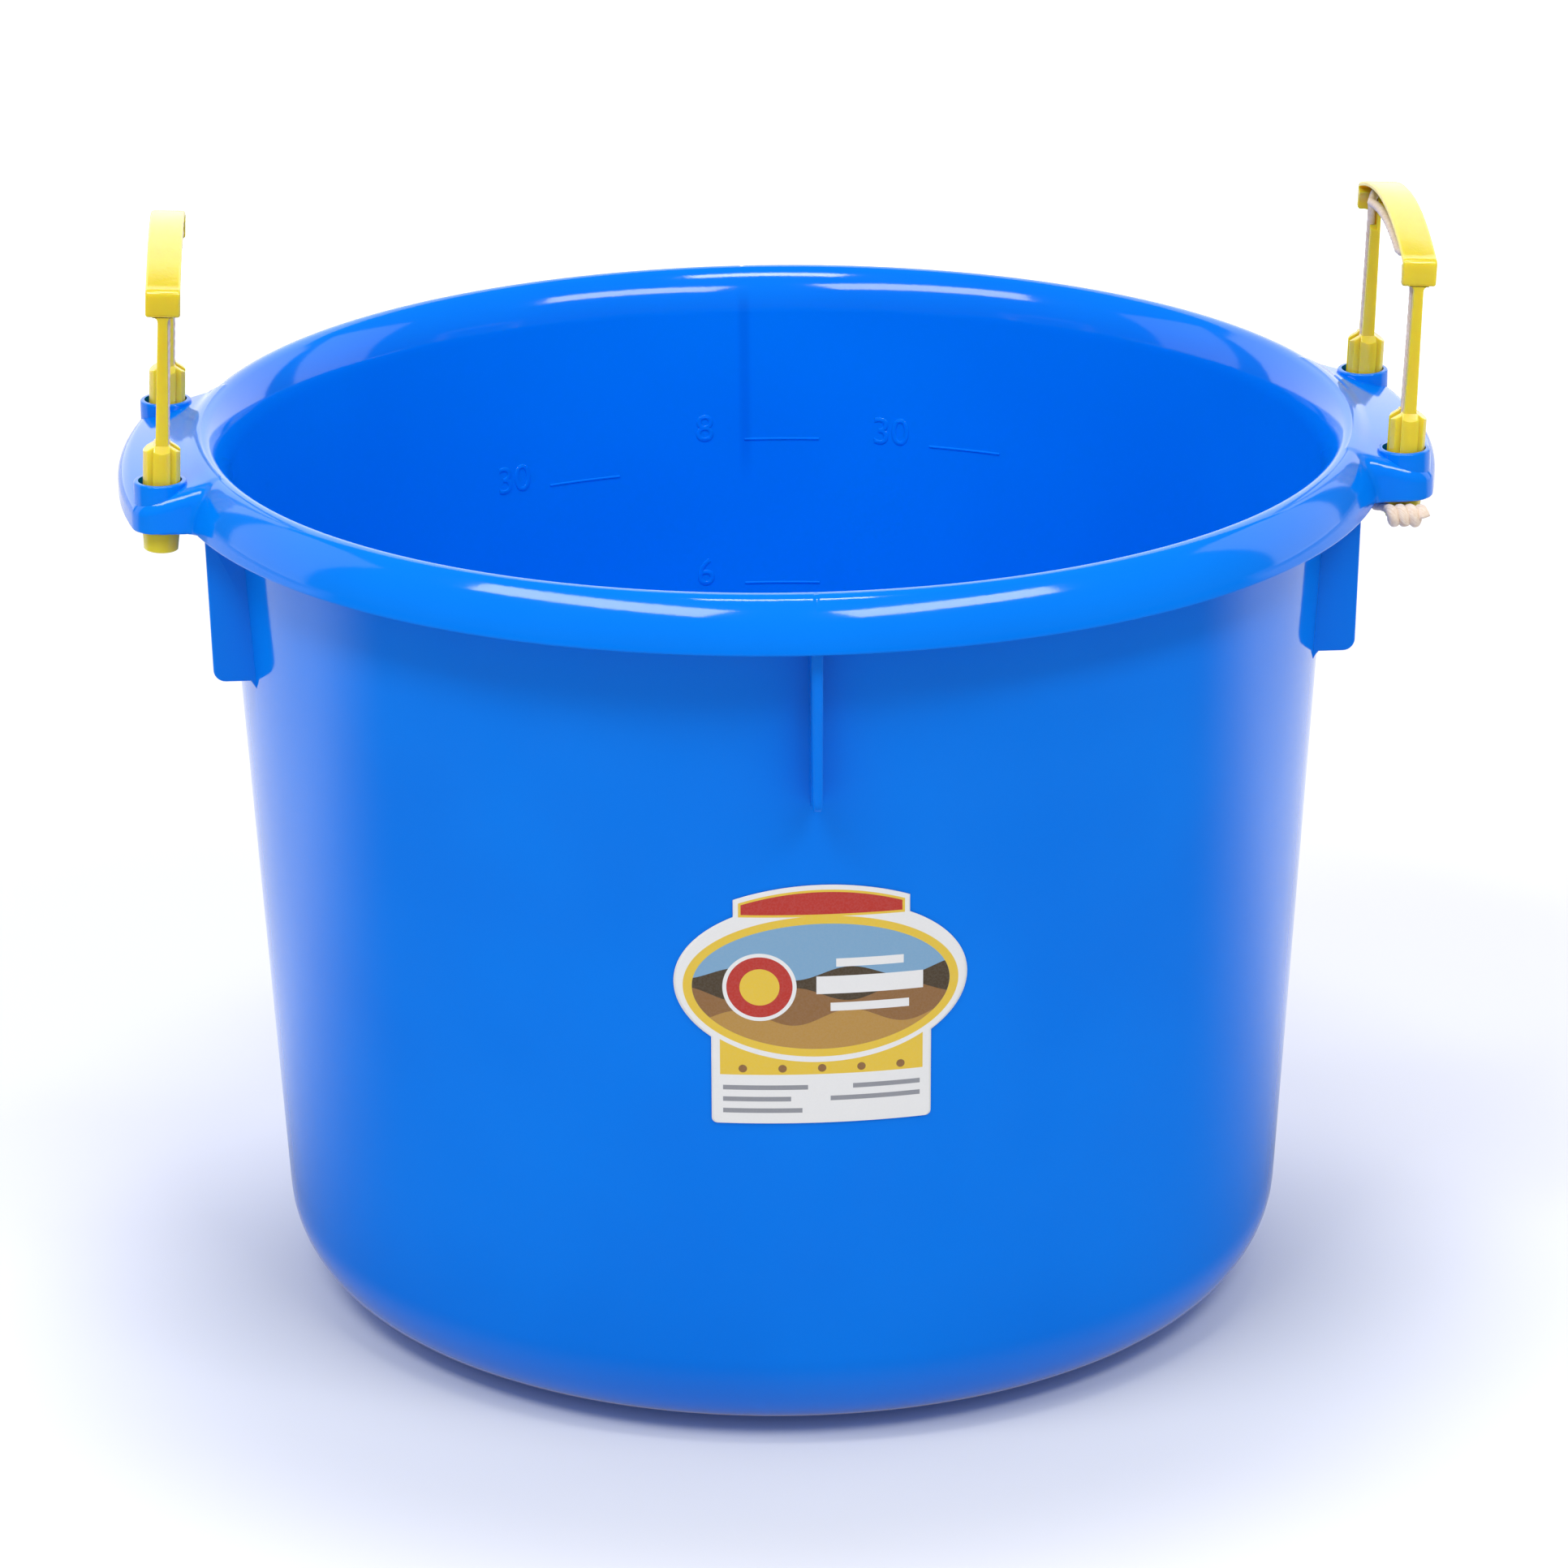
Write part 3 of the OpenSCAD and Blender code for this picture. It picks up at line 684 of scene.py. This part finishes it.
def channel():
    """The rope's slot in one leg, open towards the tub."""
    low_z, back_x = foot_tip_z - over_cut, channel_x - channel_reach
    corners = [(back_x, low_z), (channel_x, low_z), (channel_x, turn_z), (back_x, turn_z)]
    return even_plate(corners, 2 * channel_half, rope_gap)


def turn_pocket(end):
    """The room for the rope's turn into the grip, open towards the tub."""
    radius = turn_radius + rope_radius + rope_gap
    points, faces = turned_solid([
        (thin_core, 0), (radius, 0), (radius, channel_reach), (thin_core, channel_reach)])
    x, y, z = points.T
    return np.stack([channel_x - z, end * turn_y + y, turn_z + x], axis=-1), faces


fin = even_plate(plug_outline(plug_half, strap_low / 2), fin_thick, soft_edge)
handle = mesh_piece("handle", *gathered(at_ends(fin)))
rib = across_x(even_plate(plug_outline(plug_half, strap_depth / 2), rib_width, plug_edge))
barrel = turned_solid([
    (core, plug_z), (plug_radius - plug_edge, plug_z), (plug_radius, plug_z + plug_edge),
    (plug_radius, strap_z), (core, strap_z)], 72)
neck_low, neck_high = foot_z - overlap, plug_z + overlap
neck = turned_solid([
    (thin_core, neck_low), (neck_radius, neck_low), (neck_radius, neck_high), (thin_core, neck_high)])
foot = turned_solid([
    (core, foot_tip_z), (foot_tip_radius - soft_edge, foot_tip_z),
    (foot_tip_radius, foot_tip_z + soft_edge), (foot_radius - 0.1, foot_z - 0.4),
    (foot_radius - soft_edge, foot_z), (core, foot_z)])
cup_low, cup_high = foot_tip_z - over_cut, foot_tip_z + cup_depth
cup = turned_solid([
    (core, cup_low), (cup_radius, cup_low), (cup_radius, cup_high - soft_edge),
    (cup_radius - soft_edge, cup_high), (core, cup_high)])
carved(handle, at_ends(rib), "UNION")
carved(handle, at_ends(barrel), "INTERSECT")
carved(handle, at_ends(even_plate(strap_outline(), strap_depth, soft_edge)), "UNION")
carved(handle, at_ends(neck), "UNION")
carved(handle, at_ends(foot), "UNION")
carved(handle, [across_x(even_plate(grip_outline(), grip_width, grip_edge))], "UNION")
hollow = even_plate(hollow_outline(), grip_width, soft_edge)
carved(handle, [across_x(hollow, -grip_wall)], "DIFFERENCE")
carved(handle, at_ends(cup), "DIFFERENCE")
carved(handle, at_ends(channel()), "DIFFERENCE")
carved(handle, [turn_pocket(-1), turn_pocket(1)], "DIFFERENCE")

yellow, wire, shader, coords = material("yellow_polyethylene")
shader.inputs["Specular IOR Level"].default_value = 0.9
shader.inputs["Subsurface Weight"].default_value = 0.9
shader.inputs["Subsurface Radius"].default_value = (1.0, 0.7, 0.1)
shader.inputs["Subsurface Scale"].default_value = 0.004
cloud = wire.noise(coords, 22.0)
cloud.step(0.3, 0.7).mix(paint(225, 202, 46), paint(231, 210, 60)).feed(shader, "Base Color")
(0.16 + 0.08 * wire.noise(coords, 120.0)).feed(shader, "Roughness")
grain = wire.noise(coords, 700.0) + wire.noise(coords, 60.0)
grain.raise_surface(shader, 0.15, 0.0004)


def in_ear(points, side):
    """Points of a +X handle taken to an ear: mirrored on the left, leant in the sockets and moved out."""
    x, y, z = (points * np.array([side, 1, 1]) - np.array([0, 0, pivot_z])).T
    return np.stack([
        x * np.cos(lean) + z * np.sin(lean) + side * socket_x, y,
        z * np.cos(lean) - x * np.sin(lean) + pivot_z], axis=-1)


for name, side in (("left", -1), ("right", 1)):
    mesh = handle.data.copy()
    mesh.vertices.foreach_set("co", (in_ear(as_points(mesh) / MM, side) * MM).ravel())
    if side < 0:
        mesh.flip_normals()
    mesh.materials.clear()
    mesh.materials.append(yellow)
    grip = bpy.data.objects.new(name + "_grip", mesh)
    scene.collection.objects.link(grip)
    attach(grip, name + "_handle_body")
    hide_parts(name + "_handle")
bpy.data.objects.remove(handle)

# The ropes: three-strand twisted cord, laid in the channel of each handle from foot to foot. The ends are
# tucked into the cups of the feet, but the front end of the right one comes out and is wrapped in a
# stopper knot.
rope_lay = 11.0
strand_depth = 0.12
rope_low = grip_round - grip_height + rope_radius
rope_edge = rope_radius + rope_gap - grip_width / 2
rope_lead = 0.3
rope_step = 0.7
tuck_round = 3.3
tuck_turn = np.radians(220)
tuck_z = 309.85
tuck_fall = 1.2
knot_round = 2.1
knot_wraps = 3.25
knot_swell = 0.45
knot_pitch = 3.8
knot_fade = 6.0
knot_lead, slot_pull = np.array([-1.28, 4.8, 0]), np.array([3.52, 0, 0])
knot_centre = np.array([-knot_wraps * knot_pitch / 2, -socket_y - 11.3, ear_z - 4.9])
slot_out = 8.6


def bend(a, b, c, d, count):
    """A curve with four control points, its first end left out."""
    t = np.linspace(0, 1, count + 1)[1:, None]
    ends = (1 - t)**3 * np.array(a) + t**3 * np.array(d)
    return ends + 3 * t * (1 - t)**2 * np.array(b) + 3 * t * t * (1 - t) * np.array(c)


def tucked_end(end):
    """A rope's end in the cup of its foot, up to the strap: part of a circle that closes in on it."""
    t = np.linspace(1, 0, 40)
    angle = np.pi + end * tuck_turn * t
    radius = -rope_x + (tuck_round + rope_x) * np.minimum(1, 3 * t)
    y = end * socket_y + radius * np.sin(angle)
    return np.stack([radius * np.cos(angle), y, tuck_z - tuck_fall * t], axis=-1)


def knotted_end():
    """The front end that comes out of its foot: a helix along X, then its lead into the foot's slot."""
    t = np.linspace(knot_wraps, 0, 90)
    angle = np.pi / 2 + 2 * np.pi * t
    round_x = np.stack([knot_pitch * t, knot_round * np.cos(angle), knot_round * np.sin(angle)], axis=-1)
    start = knot_centre + np.array([0, 0, knot_round])
    out = np.array([-slot_out, -socket_y, knot_centre[2]])
    below = (rope_x, -socket_y, knot_centre[2])
    return np.concatenate([
        knot_centre + round_x,
        bend(start, start + knot_lead, out - slot_pull, out, 30),
        bend(out, out + slot_pull, below, (rope_x, -socket_y, foot_z), 30)[:-1]])


def rope_route(knotted):
    """The rope's middle line in a handle on the +X side, from its front end to its back end."""
    share = np.linspace(1, -1, 80)
    out = np.clip((1 - np.abs(share)) / rope_lead, 0, 1)
    out = out * out * (3 - 2 * out)
    angle = np.pi / 2 + turn_angle * share
    radius = arch_radius + (rope_low - arch_radius) * out
    x = rope_x + (rope_edge - rope_x) * out
    over = np.stack([x, radius * np.cos(angle), grip_axis_z + radius * np.sin(angle)], axis=-1)
    bend_up = arc((-turn_y, turn_z), turn_radius, np.pi, np.pi / 2 + turn_angle, 16)[:-1]
    bend_up = np.concatenate([np.full((len(bend_up), 1), rope_x), bend_up], axis=1)
    bend_down = bend_up[::-1] * np.array([1, -1, 1])
    front = knotted_end() if knotted else tucked_end(-1)
    return np.concatenate([
        front, [(rope_x, -socket_y, foot_z)], bend_up, over, bend_down,
        [(rope_x, socket_y, foot_z)], tucked_end(1)[::-1]])


def evenly(route, spacing):
    """A route's points at even steps along it."""
    steps = np.linalg.norm(np.diff(route, axis=0), axis=1)
    run = np.concatenate([[0], np.cumsum(steps)])
    at = np.linspace(0, run[-1], int(run[-1] / spacing))
    return np.stack([np.interp(at, run, route[:, axis]) for axis in range(3)], axis=-1), at


def rope_tube(route, run, swell, sides=21):
    """Rings carried along a route without twist: radius R (1 - d + d |cos 1.5 a|), a turned by the lay."""
    heading = np.gradient(route, axis=0)
    heading /= np.linalg.norm(heading, axis=1, keepdims=True)
    aside = (0.3, 0.5, 0.81)
    normals = [np.cross(heading[0], aside)]
    for ahead in heading[1:]:
        normals.append(normals[-1] - (normals[-1] @ ahead) * ahead)
    normal = np.array(normals)
    normal /= np.linalg.norm(normal, axis=1, keepdims=True)
    side = np.cross(heading, normal)
    a = np.linspace(0, 2 * np.pi, sides, endpoint=False)[None]
    lay = a + 2 * np.pi * run[:, None] / rope_lay
    radius = rope_radius * swell[:, None] * (1 - strand_depth + strand_depth * np.abs(np.cos(1.5 * lay)))
    points = route[:, None] + radius[..., None] * (
        np.cos(a)[..., None] * normal[:, None] + np.sin(a)[..., None] * side[:, None])
    last = (len(route) - 1) * sides
    caps = [list(range(sides - 1, -1, -1)), list(range(last, last + sides))]
    return points.reshape(-1, 3), grid_faces(len(route), sides) + caps, lay


def with_uv(mesh, u, v):
    """A UV map from a value of u and v at each vertex."""
    layer = mesh.uv_layers.new(name="lay")
    corner = np.empty(len(mesh.loops), dtype=np.int32)
    mesh.loops.foreach_get("vertex_index", corner)
    layer.data.foreach_set("uv", np.stack([u[corner], v[corner]], axis=-1).ravel().astype(np.float32))


fibre, wire, shader, coords = material("twisted_fibre")
lay_map = wire.node("ShaderNodeUVMap", {"uv_map": "lay"}, {})
stretch = wire.node("ShaderNodeMapping", {}, {"Vector": lay_map, "Scale": (9.0, 0.25, 1.0)})
strands = wire.noise(stretch, 1.0, 4.0)
fleck = wire.noise(coords, 900.0)
worn = (0.7 * strands + 0.3 * fleck).step(0.3, 0.68)
worn.mix(paint(224, 196, 168), paint(250, 234, 216)).feed(shader, "Base Color")
(0.75 + 0.15 * fleck).feed(shader, "Roughness")
weave = strands + 0.5 * fleck
weave.raise_surface(shader, 0.6, 0.0004)
shader.inputs["Sheen Weight"].default_value = 0.2
for name, side in (("left", -1), ("right", 1)):
    route, run = evenly(rope_route(side > 0), rope_step)
    swell = np.ones(len(run))
    if side > 0:
        knot_run = knot_wraps * 2 * np.pi * knot_round
        swell += knot_swell * np.clip((knot_run + knot_fade - run) / knot_fade, 0, 1)
    points, faces, lay = rope_tube(route, run, swell)
    rope = mesh_piece(name + "_cord", in_ear(points, side), faces, 180)
    if side < 0:
        rope.data.flip_normals()
    with_uv(rope.data, np.sin(lay).ravel(), np.repeat(run, lay.shape[1]))
    rope.data.materials.append(fibre)
    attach(rope, name + "_handle_body")
    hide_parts(name + "_rope")

# The label: a printed film stuck to the front of the wall, cut as an oval on a straight foot, with a low
# cap. The print is a plain pattern of waves, rings and bars.
label_low, label_high = (np.array(corner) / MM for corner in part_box("label"))
label_z = label_low[2]
label_tall = label_high[2] - label_z
label_turn = np.radians(0.65)
label_out = 0.5
label_thick = 0.25
label_corner = 2.0
foot_half = 39.0
oval_half, oval_rise, oval_middle = 52.0, 31.74, 54.51
cap_half, cap_round = 31.2, 90.0
cap_middle = label_tall - cap_round
cap_foot = 78.0
print_edge = 0.05


def label_half(up):
    """Half the label's width at a height on it: that of its foot, oval or cap, whichever is widest."""
    corner = np.maximum(label_corner - up, 0)
    foot = foot_half - label_corner + np.sqrt(label_corner**2 - corner**2)
    oval = oval_half * np.sqrt(np.maximum(1 - ((up - oval_middle) / oval_rise)**2, 0))
    cap = np.minimum(np.sqrt(np.maximum(cap_round**2 - (up - cap_middle)**2, 0)), cap_half)
    return np.maximum(oval, np.where(up < oval_middle, foot, cap))


def label_sheet(columns=73):
    """A grid from side to side of the label at each height, laid on the cone of the wall."""
    foot_up = oval_middle - oval_rise * np.sqrt(1 - (foot_half / oval_half)**2)
    cap_up = oval_middle + oval_rise * np.sqrt(1 - (cap_half / oval_half)**2)
    over = cap_middle + np.sqrt(cap_round**2 - np.linspace(cap_half, 1.0, 16)**2)
    up = np.unique(np.concatenate([
        label_corner * (1 - np.cos(np.linspace(0, np.pi / 2, 6))), np.linspace(label_corner, foot_up, 12),
        np.linspace(foot_up, cap_up, 41), np.linspace(cap_up, over[0], 6), over]).round(6))
    x = label_half(up)[:, None] * np.linspace(-1, 1, columns)
    z = np.broadcast_to(label_z + up[:, None], x.shape)
    points = np.stack([x, -np.sqrt((wall_radius(z) + label_out)**2 - x * x), z], axis=-1)
    row, column = np.meshgrid(np.arange(len(up) - 1), np.arange(columns - 1), indexing="ij")
    a = row * columns + column
    faces = np.stack([a, a + 1, a + columns + 1, a + columns], axis=-1).reshape(-1, 4).tolist()
    return points, faces


points, faces = label_sheet()
label = mesh_piece("label_film", spun(points.reshape(-1, 3), label_turn), faces)
with_uv(label.data, points[..., 0].ravel(), points[..., 2].ravel() - label_z)
film = label.modifiers.new("film", "SOLIDIFY")
film.thickness = label_thick * MM
film.offset = -1

printed, wire, shader, coords = material("printed_film")
across, up = wire.axes(wire.node("ShaderNodeUVMap", {"uv_map": "lay"}, {}), 2)


def box_of(x, y, half_x, half_y):
    """1 inside a box on the label, with soft edges of a tenth of a millimetre."""
    beside = wire.sum("ABSOLUTE", across - x) - half_x
    above = wire.sum("ABSOLUTE", up - y) - half_y
    return (1 - beside.step(-print_edge, print_edge)) * (1 - above.step(-print_edge, print_edge))


def oval_of(x, y, half_x, half_y):
    """1 inside an oval on the label."""
    far = (((across - x) / half_x)**2 + ((up - y) / half_y)**2)**0.5
    return 1 - far.step(1 - print_edge / half_y, 1 + print_edge / half_y)


white, yolk, red = paint(238, 238, 236), paint(236, 200, 60), paint(196, 52, 40)
soil, brown, ochre = paint(84, 70, 50), paint(150, 108, 62), paint(190, 146, 70)
pale_blue, grey = paint(128, 172, 206), paint(150, 152, 158)
colour = box_of(0.0, 26.0, 36.0, 7.0).mix(white, yolk)
for x in (-28.0, -14.0, 0.0, 14.0, 28.0):
    colour = oval_of(x, 21.4, 1.5, 1.5).mix(colour, brown)
colour = oval_of(0.0, oval_middle, oval_half - 1.0, oval_rise - 1.0).mix(colour, white)
for edge, shade in ((1.8, yolk), (2.7, red)):
    low = cap_foot + edge
    band = oval_of(0.0, cap_middle, cap_round - edge, cap_round - edge)
    band = band * up.step(low, low + 2 * print_edge)
    colour = (band * box_of(0.0, 80.0, cap_half - edge, 20.0)).mix(colour, shade)
ring_up = oval_middle - 1.5
colour = oval_of(0.0, ring_up, oval_half - 3.2, oval_rise - 4.6).mix(colour, yolk)
field = oval_of(0.0, ring_up, oval_half - 6.4, oval_rise - 7.6)
colour = field.mix(colour, pale_blue)
wave = 2.4 * wire.sum("SINE", across * 0.16)
for level, shade in ((58.0, soil), (50.0, brown), (41.0, ochre)):
    colour = (field * (level + wave - up).step(-print_edge, print_edge)).mix(colour, shade)
    wave = -1.1 * wave
sun_x, sun_up, sun_round = -22.0, 53.0, 13.0
for edge, shade in ((0.0, white), (1.4, red), (6.0, yolk)):
    colour = oval_of(sun_x, sun_up, sun_round - edge, sun_round - edge).mix(colour, shade)
for y, half, thick in ((62.0, 12.0, 1.6), (53.5, 19.0, 3.4), (45.0, 14.0, 1.6)):
    colour = box_of(17.0, y, half, thick).mix(colour, white)
foot_bars = (
    (-20.0, 14.0, 15.0), (-23.0, 9.5, 12.0), (-21.0, 5.0, 14.0), (23.0, 14.0, 12.0), (19.0, 9.5, 16.0))
for x, y, half in foot_bars:
    colour = box_of(x, y, half, 0.9).mix(colour, grey)
speckle = wire.noise(coords, 1400.0)
(0.04 * speckle.step(0.35, 0.65)).mix(colour, paint(205, 205, 205)).feed(shader, "Base Color")
(0.3 + 0.1 * speckle).feed(shader, "Roughness")
label.data.materials.append(printed)
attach(label, "tub_body")
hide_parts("label")

# The view and the studio: a white floor with a soft shade painted in front of the tub, a bright backdrop
# and soft lights. The floor and the backdrop look bright to the camera but dim in the tub's gloss, and
# close round the tub's foot the floor gives a painted pale reflection.
camera_place = (-0.1515, -2.4413, 1.0570)
floor_half = 9000.0
painted_shade_x, painted_shade_y, painted_shade_wide, painted_shade_deep = -0.01, -0.08, 0.31, 0.27
black, dim, full_white = (0, 0, 0, 1), (0.1, 0.1, 0.1, 1), (1, 1, 1, 1)
camera_data = bpy.data.cameras.new("camera")
camera_data.sensor_width = 36
camera_data.lens = 157.27
camera_data.clip_end = 50
camera = bpy.data.objects.new("camera", camera_data)
scene.collection.objects.link(camera)
scene.camera = camera
yaw, pitch, roll = np.radians([-3.595, 19.54, -0.459])
aim = Matrix.Rotation(yaw, 4, "Z") @ Matrix.Rotation(np.pi / 2 - pitch, 4, "X")
camera.matrix_world = Matrix.Translation(camera_place) @ aim @ Matrix.Rotation(roll, 4, "Z")

ground = np.array([(-1, -1, 0), (1, -1, 0), (1, 1, 0), (-1, 1, 0)]) * floor_half
floor = mesh_piece("floor", ground, [[0, 1, 2, 3]])
floor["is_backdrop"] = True
paper, wire, shader, coords = material("floor_paper")
shader.inputs["Roughness"].default_value = 1.0
shader.inputs["Specular IOR Level"].default_value = 0.0
shader.inputs["Emission Strength"].default_value = 1.0
seen = wire.node("ShaderNodeLightPath", {}, {})
mirrored = wire.node("ShaderNodeLightPath", {}, {}, 3)
beside, depth = wire.axes(coords, 2)
away = wire.node("ShaderNodeVectorMath", {"operation": "LENGTH"}, {0: coords}, 1)
# A painted shadow: a soft grey oval on the floor in front of the tub, drawn in the floor's colour rather
# than cast by the lamps.
from_painted_shade = (((beside - painted_shade_x) / painted_shade_wide)**2 + ((depth - painted_shade_y) / painted_shade_deep)**2)**0.5
shade = 1 - from_painted_shade.step(0.6, 1.08)
sheet = wire.noise(coords, 3.0).mix(paint(236, 236, 240), paint(240, 240, 243))
sheet = shade.mix(sheet, paint(215, 216, 217))
(mirrored * (1 - depth.step(-0.1, 0.25))).mix(sheet, dim).feed(shader, "Base Color")
# Painted shade and bounce: inside the painted oval the floor glows a faint blue to the camera, standing in
# for light thrown back from the blue tub; elsewhere near the tub it glows a faint grey.
near = shade.mix((0.1, 0.1, 0.098, 1), (0.015, 0.025, 0.075, 1))
in_view = away.step(0.75, 2.4).mix(near, (0.97, 0.97, 0.95, 1))
# A painted reflection: in a thin ring round the tub's foot the floor glows pale only in the tub's gloss,
# which brightens the base's lower edge.
under = (mirrored * (1 - away.step(0.19, 0.23))).mix(black, (0.25, 0.25, 0.33, 1))
seen.mix(under, in_view).feed(shader, "Emission Color")
floor.data.materials.append(paper)

world = bpy.data.worlds.new("studio")
scene.world = world
world.use_nodes = True
sky = Wire(world.node_tree)
background = world.node_tree.nodes["Background"]
background.inputs["Strength"].default_value = 1.0
seen = sky.node("ShaderNodeLightPath", {}, {})
mirrored = sky.node("ShaderNodeLightPath", {}, {}, 3)
unseen = mirrored.mix((0.37, 0.37, 0.38, 1), (0.08, 0.08, 0.08, 1))
seen.mix(unseen, full_white).feed(background, "Color")


def soft_light(name, place, target, width, height, power):
    """A rectangular light that faces a point."""
    data = bpy.data.lights.new(name, "AREA")
    data.shape = "RECTANGLE"
    data.size = width
    data.size_y = height
    data.energy = power
    light = bpy.data.objects.new(name, data)
    light.location = place
    light.rotation_euler = (Vector(target) - Vector(place)).to_track_quat("-Z", "Y").to_euler()
    scene.collection.objects.link(light)


soft_light("back_light", (0.0, 3.0, 1.5), (0, 0, 0.6), 7.0, 3.0, 100)
soft_light("left_light", (-2.6, 0.9, 1.2), (0, 0, 0.4), 1.3, 2.2, 8)
soft_light("right_light", (2.6, 0.9, 1.2), (0, 0, 0.4), 1.3, 2.2, 10)
soft_light("front_left_light", (-0.91, -0.91, 1.83), (0, 0, 0.25), 1.4, 0.4, 17)
soft_light("front_right_light", (0.78, -1.15, 1.74), (0, 0, 0.25), 1.2, 0.35, 13.5)
soft_light("top_light", (0.0, -0.55, 2.2), (0, 0, 0.3), 0.7, 0.25, 9)

low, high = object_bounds()
